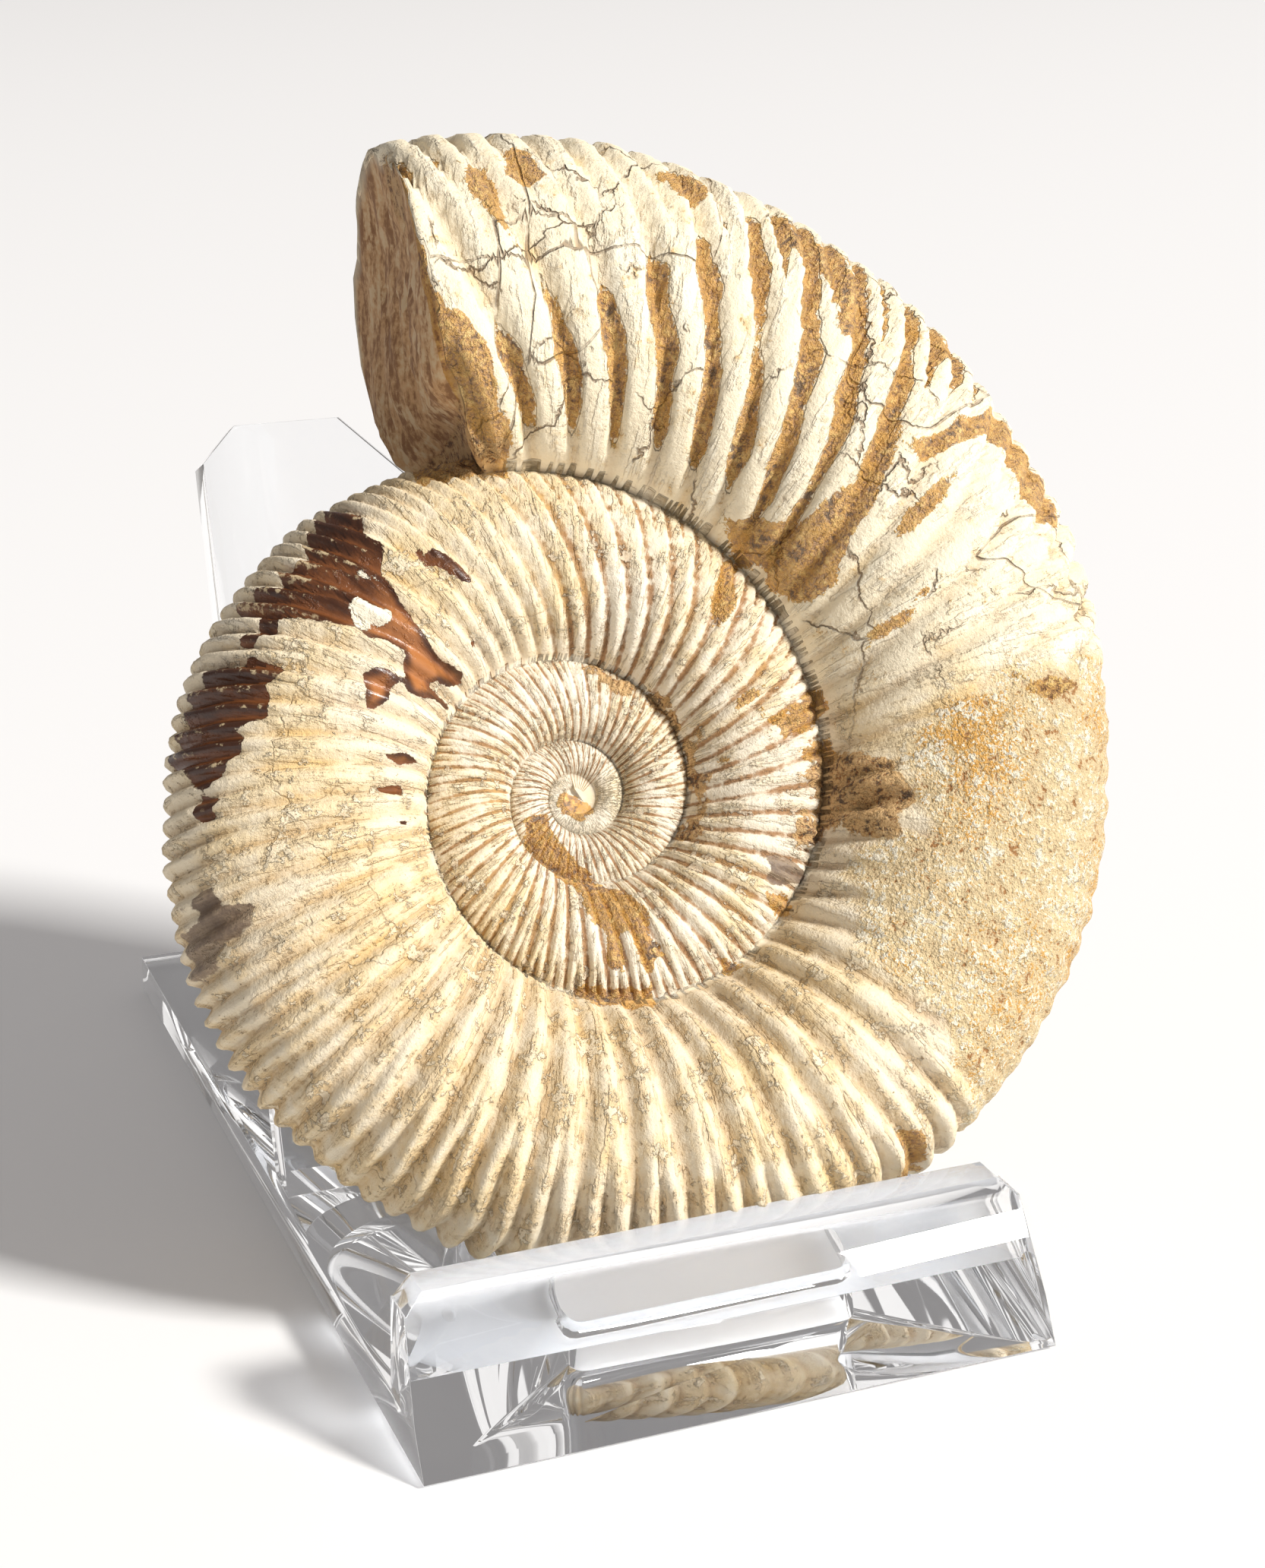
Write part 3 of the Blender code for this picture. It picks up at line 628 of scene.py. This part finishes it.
def finishShell():
    look, start, shader = newLook("chalky_shell_and_stone")
    tones = shellTones
    place = start.node("ShaderNodeTexCoord", output=3)
    rib, layer, calcite, slate, ochre, crust, chalk, worn, back, across, face, split = [
        readMark(start, name) for name in
        ("rib", "layer", "calcite", "slate", "ochre", "crust", "chalk", "worn", "back", "across", "face", "split")]
    broad = grain(start, place, 9 * mm, 2)
    middle = grain(start, place, 2.2 * mm, 4)
    small = grain(start, place, 0.6 * mm, 4, 0.65)
    grit = grain(start, place, 0.22 * mm, 2, 0.7)
    along = start.node("ShaderNodeCombineXYZ", {}, {0: back * 26.0, 1: across * 3.0, 2: 0.0})
    streak = start.node("ShaderNodeTexNoise", {}, {"Vector": along, "Scale": 1.0, "Detail": 4.0,
                                                   "Roughness": 0.6}) - 0.5
    inner = ramp(back, 6.2, 6.5)
    slabs = 1 - ramp(back + broad * 0.8, 1.35, 1.85)

    # Chalk: creamy and streaked along the ribs, peach low on the shell, whiter plates near the broken end.
    creamy = ramp(broad * 1.3 + middle * 0.9 + streak * 0.8 + small * 0.3, -0.22, 0.3)
    colour = blend(creamy, tones["white"], tones["cream"])
    low = ramp(back, 2.3, 2.9) * (1 - ramp(back, 4.4, 5.1))
    colour = blend(low * ramp(middle + streak, -0.2, 0.25) * 0.8, colour, tones["peach"])
    plates = blend(ramp(middle * 1.2 + small * 0.8, 0.02, 0.4), tones["plate"], tones["cream"])
    colour = blend(slabs * 0.85, colour, plates)
    groove = ramp(0 - rib + middle * 1.4 + small * 0.9, 0.1, 1.1)
    colour = blend(groove * (0.5 - slabs * 0.2), colour, tones["grooveTan"])
    colour = blend(inner * ramp(0 - rib + middle * 2.4 + small * 1.8, 0.05, 0.9) * 0.8, colour,
                   tones["innerBrown"])
    stain = ramp(middle * 2.2 - rib - small, 0.2, 1.3) * ramp(broad + small * 0.3, 0.0, 0.22)
    colour = blend(stain * 0.5, colour, tones["yellow"])
    chip = ramp(streak * 1.2 + middle * 0.5 + small * 0.3, 0.0, 0.12)
    colour = blend((1 - chip) * 0.3 * (1 - inner), colour, tones["cream"])
    edge = chip * (1 - chip) * 4
    colour = blend(edge * 0.12, colour, tones["grooveTan"])
    flecks = ramp(small + middle * 0.5 + grit * 0.3, 0.16, 0.26)
    colour = blend(flecks * 0.55, colour, tones["ochre"])
    flake = ramp(middle * 1.1 + small * 0.8 + streak * 0.4, 0.13, 0.19) * (1 - slabs) * (1 - worn * 0.5)
    colour = blend(flake * 0.5, colour, tones["plate"])
    specks = ramp(grit + small * 0.7 + middle * 0.2, 0.2, 0.3) * (1 - slabs * 0.6)
    colour = blend(specks * 0.6, colour, tones["grooveTan"])

    buff = blend(ramp(middle + small * 0.8, -0.2, 0.25), tones["buffGrey"], tones["buff"])
    buff = blend(ramp(broad + small * 1.8 + grit * 0.9, 0.06, 0.22) * 0.9, buff, tones["ochre"])
    buff = blend(ramp(0 - small * 1.4 - middle * 0.9, 0.17, 0.27) * 0.85, buff, tones["ochreDark"])
    buff = blend(ramp(small * 1.2 + middle * 0.6 - grit * 0.6, 0.04, 0.14) * 0.95, buff, tones["plate"])
    colour = blend(ramp(worn + middle * 1.1 + small * 0.7, 0.25, 0.75), colour, buff)

    # Hairline cracks run along the edges of warped cells.
    warp = start.node("ShaderNodeTexNoise", {}, {"Vector": place, "Scale": 700.0, "Detail": 3.0}, output=1)
    shift = start.node("ShaderNodeVectorMath", {"operation": "SCALE"}, {0: warp, 3: 0.0022})
    warped = start.node("ShaderNodeVectorMath", {"operation": "ADD"}, {0: place, 1: shift})
    cells = start.node("ShaderNodeTexVoronoi", {"feature": "DISTANCE_TO_EDGE"}, {"Vector": warped, "Scale": 150.0})
    crackLine = 1 - ramp(cells, 0.0, 0.022)
    crackLine = crackLine * ramp(broad + middle * 0.6, -0.04, 0.1) * (0.25 + slabs * 0.75)
    longCrack = (1 - ramp(split.maths("ABSOLUTE", split, 0.0), 0.02, 0.13)) * slabs
    longCrack = longCrack * (0.25 + 0.6 * ramp(middle + small * 0.6 + broad * 0.5, -0.16, 0.1))
    crackLine = (crackLine * (1 - inner)).maths("MAXIMUM", crackLine * (1 - inner), longCrack)
    colour = blend(crackLine * 0.75, colour, tones["crack"])

    turned = start.node("ShaderNodeMapping", {}, {"Vector": place, "Scale": (1.0, 1.0, 0.22)})
    grainy = grain(start, turned, 1.1 * mm, 4, 0.6)
    end = blend(ramp(grainy + small * 0.6, -0.14, 0.06), tones["faceDark"], tones["faceTan"])
    end = blend(ramp(grainy + small * 0.8 + middle * 0.5, 0.0, 0.2), end, tones["facePale"])
    colour = blend(face, colour, end)

    # Bare ochre stone shows in the grooves and patches, granular and darkly pitted.
    stone = blend(ramp(small + grit * 0.6 + middle * 0.5, -0.17, 0.06), tones["ochreDark"], tones["ochre"])
    stone = blend(ramp(small * 1.2 - middle * 0.4 + grit * 0.5, 0.04, 0.22) * 0.9, stone, tones["yellow"])
    pits = ramp(0 - middle * 0.9 - small * 1.3, 0.12, 0.25)
    stone = blend(pits * 0.8, stone, tones["crustBrown"])
    bare = ramp(small * 1.1 + grit * 0.5 - layer, 0.0, 0.07)
    spot = ramp(ochre + small * 1.0 + grit * 0.5, 0.0, 0.1)
    bare = bare.maths("MAXIMUM", bare, spot)
    colour = blend(bare * (0.82 + grit * 0.5), colour, stone)

    # Mask of the crease where the last turn meets the turn under it, near the broken end: painted shade with some brown
    # dirt.
    seam = (1 - ramp(across, 0.0, 0.012)) * (1 - ramp(back, 0.95, 1.25))
    dirt = ramp(crust + small * 1.6 + middle * 0.8, 0.0, 0.2)
    soil = blend(ramp(small + grit * 1.2, -0.1, 0.16), tones["crustBrown"], tones["ochreDark"])
    soil = blend(ramp(small * 1.2 - grit * 0.6 + middle * 0.5, -0.16, 0.05) * 0.95, soil, tones["crustTan"])
    colour = blend(dirt * 0.92, colour, soil)
    # Painted shade, partly dirt, darkens that crease.
    colour = blend(seam * 0.45, colour, tones["seamShadeBrown"])

    ashen = ramp(slate + small * 0.5 + grit * 0.2, 0.0, 0.12)
    ash = blend(ramp(streak * 1.4 + middle + small * 0.4, -0.2, 0.2), tones["slateDark"], tones["slateGrey"])
    colour = blend(ashen * 0.9, colour, ash)
    clear = ramp(calcite + small * 0.4 + grit * 0.15, 0.0, 0.05)
    resin = blend(ramp(streak * 1.6 + middle * 0.6 - rib * 0.25, -0.35, 0.25), tones["calciteDark"],
                  tones["calciteBrown"])
    golden = ramp(0 - ramp(across, 0.3, 0.75) + streak + middle * 0.6, -0.75, -0.1) * ramp(calcite, 0.15, 0.7)
    resin = blend(golden, resin, tones["calciteGold"])
    resin = blend(ramp(small + streak * 0.7 + rib * 0.14, 0.15, 0.27) * ramp(across, 0.6, 0.75) * 0.7, resin,
                  tones["cream"])
    colour = blend(clear, colour, resin)
    chalky = ramp(chalk + small * 0.3 + grit * 0.3, 0.0, 0.06)
    colour = blend(chalky, colour, tones["plate"])
    start.tree.links.new(colour.socket, shader.inputs["Base Color"])

    glossy = clear * (1 - chalky) * (1 - face) + ashen * 0.5
    rough = 0.85 - glossy * (0.52 - small * 0.4)
    start.tree.links.new(rough.socket, shader.inputs["Roughness"])
    step = ramp(layer + small * 0.25, -0.02, 0.1) * slabs
    height = small * 0.55 + grit * 0.22 + bare * (small * 1.7 + middle * 0.8 + grit * 0.8)
    height = height + worn * (small * 1.7 + middle * 0.8 + grit * 0.7)
    height = height + dirt * small * 1.6 - crackLine * 0.9 + face * (grainy * 2.0 + small * 1.2) + step * 0.8
    height = height + ramp(split, -0.12, 0.12) * slabs * 0.35
    height = height + chip * 0.3 * (1 - worn * 0.6) - specks * 0.4 + flake * 0.45
    height = height * (1 - glossy * 0.75) - glossy * 0.2
    height = height * ramp(across, 0.0, 0.05)
    bump = start.node("ShaderNodeBump", {}, {"Strength": 1.0, "Distance": 0.3 * mm, "Height": height})
    start.tree.links.new(bump.socket, shader.inputs["Normal"])
    return look


ammonite.data.materials.clear()
ammonite.data.materials.append(finishShell())
print("shell finished")

stand = {
    "bevel": 0.28 * mm,
    "bevelSteps": 3,
    "colour": (0.972, 0.984, 1.0, 1),
    "roughness": 0.015,
    "ior": 1.5,
    "pinMarks": ((5.3, 11.0, 3.0), (39.4, 11.0, 3.0)),
    "pinRadius": 1.25 * mm,
    "pinGroove": 0.2 * mm,
    "letsThrough": (0.32, 0.335, 0.36, 1),
}


def buildStand():
    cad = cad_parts["display_stand"]
    bpy.ops.object.select_all(action="DESELECT")
    piece = cad.copy()
    piece.data = cad.data.copy()
    piece.name = "clear_stand"
    for key in list(piece.keys()):
        del piece[key]
    bpy.context.scene.collection.objects.link(piece)
    piece.parent = None
    piece.select_set(True)
    bpy.context.view_layer.objects.active = piece
    bpy.ops.object.mode_set(mode="EDIT")
    bpy.ops.mesh.select_all(action="SELECT")
    bpy.ops.mesh.remove_doubles(threshold=0.01 * mm)
    bpy.ops.mesh.dissolve_limited(angle_limit=math.radians(1))
    bpy.ops.mesh.normals_make_consistent(inside=False)
    bpy.ops.object.mode_set(mode="OBJECT")
    rounded = piece.modifiers.new("moulded edges", "BEVEL")
    rounded.width = stand["bevel"]
    rounded.segments = stand["bevelSteps"]
    rounded.limit_method = "ANGLE"
    rounded.angle_limit = math.radians(28)
    rounded.harden_normals = True
    bpy.ops.object.modifier_apply(modifier=rounded.name)
    # The mould's pins left two round marks beside the window.
    for mark in stand["pinMarks"]:
        bpy.ops.mesh.primitive_torus_add(location=standCorner + Vector(mark) * mm, major_radius=stand["pinRadius"],
                                         minor_radius=stand["pinGroove"], major_segments=48, minor_segments=10)
        ring = bpy.context.object
        cut = piece.modifiers.new("pin mark", "BOOLEAN")
        cut.operation = "DIFFERENCE"
        cut.object = ring
        bpy.context.view_layer.objects.active = piece
        bpy.ops.object.modifier_apply(modifier=cut.name)
        bpy.data.objects.remove(ring)
    bpy.ops.object.select_all(action="DESELECT")
    piece.select_set(True)
    bpy.ops.object.shade_smooth_by_angle(angle=math.radians(35))
    return piece


def finishStand():
    look, start, shader = newLook("clear_moulding")
    shader.inputs["Base Color"].default_value = stand["colour"]
    shader.inputs["Roughness"].default_value = stand["roughness"]
    shader.inputs["IOR"].default_value = stand["ior"]
    shader.inputs["Transmission Weight"].default_value = 1.0
    # Lamps shine through the plastic, a little weaker at each surface.
    through = start.node("ShaderNodeBsdfTransparent", {}, {"Color": stand["letsThrough"]})
    lampRay = start.node("ShaderNodeLightPath", output=1)
    mixed = start.node("ShaderNodeMixShader", {}, {0: lampRay, 1: Wire(start.tree, shader.outputs[0]), 2: through})
    start.tree.links.new(mixed.socket, start.tree.nodes["Material Output"].inputs["Surface"])
    return look


clearStand = buildStand()
clearStand.data.materials.clear()
clearStand.data.materials.append(finishStand())
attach(clearStand, "root")
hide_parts("display_stand")
print("stand built")

studio = {
    "cameraPlace": standCorner + Vector((-42.333, -142.238, 100.160)) * mm,
    "cameraTurn": Euler((math.radians(90 - 19.901), 0, math.radians(-21.609))),
    "lens": 42.447,
    "sensor": 24,
    "floorSize": 40.0,
    "floorColour": (0.8, 0.8, 0.805, 1),
    "floorGlow": 0.11,
    "glowColour": (1.0, 0.965, 0.95, 1),
    "keyColour": (1.0, 0.98, 0.945),
    "keyPower": 960,
    "keySize": 1.25,
    "keyDistance": 8.0,
    "keyFrom": (0.564, -0.569, 0.596),
    "sky": 0.29,
    "skyColour": (1.0, 0.96, 0.95, 1),
    "bounces": 24,
}
bpy.ops.object.camera_add(location=studio["cameraPlace"], rotation=studio["cameraTurn"])
camera = bpy.context.object
camera.data.sensor_fit = "VERTICAL"
camera.data.sensor_height = studio["sensor"]
camera.data.lens = studio["lens"]
camera.data.clip_start = 0.01
bpy.context.scene.camera = camera

bpy.ops.mesh.primitive_plane_add(size=studio["floorSize"], location=(0, 0, -0.3 * mm))
floor = bpy.context.object
floor.name = "floor"
floorLook, _, floorShader = newLook("pale_floor")
floorShader.inputs["Base Color"].default_value = studio["floorColour"]
floorShader.inputs["Roughness"].default_value = 0.55
floorShader.inputs["Emission Color"].default_value = studio["glowColour"]
floorShader.inputs["Emission Strength"].default_value = studio["floorGlow"]
floor.data.materials.append(floorLook)

middle = shell["centre"]
keyPlace = middle + Vector(studio["keyFrom"]).normalized() * studio["keyDistance"]
bpy.ops.object.light_add(type="AREA", location=keyPlace)
key = bpy.context.object
key.rotation_euler = (keyPlace - middle).to_track_quat("Z", "Y").to_euler()
key.data.size = studio["keySize"]
key.data.energy = studio["keyPower"]
key.data.color = studio["keyColour"]
sky = bpy.data.worlds.new("studio")
bpy.context.scene.world = sky
sky.use_nodes = True
background = sky.node_tree.nodes["Background"]
background.inputs["Color"].default_value = studio["skyColour"]
background.inputs["Strength"].default_value = studio["sky"]
bpy.context.scene.view_settings.view_transform = "Standard"
# Light goes round inside clear plastic many times before it comes out.
bpy.context.scene.cycles.max_bounces = studio["bounces"]
bpy.context.scene.cycles.glossy_bounces = studio["bounces"]
bpy.context.scene.cycles.transmission_bounces = studio["bounces"]
print("studio lit")
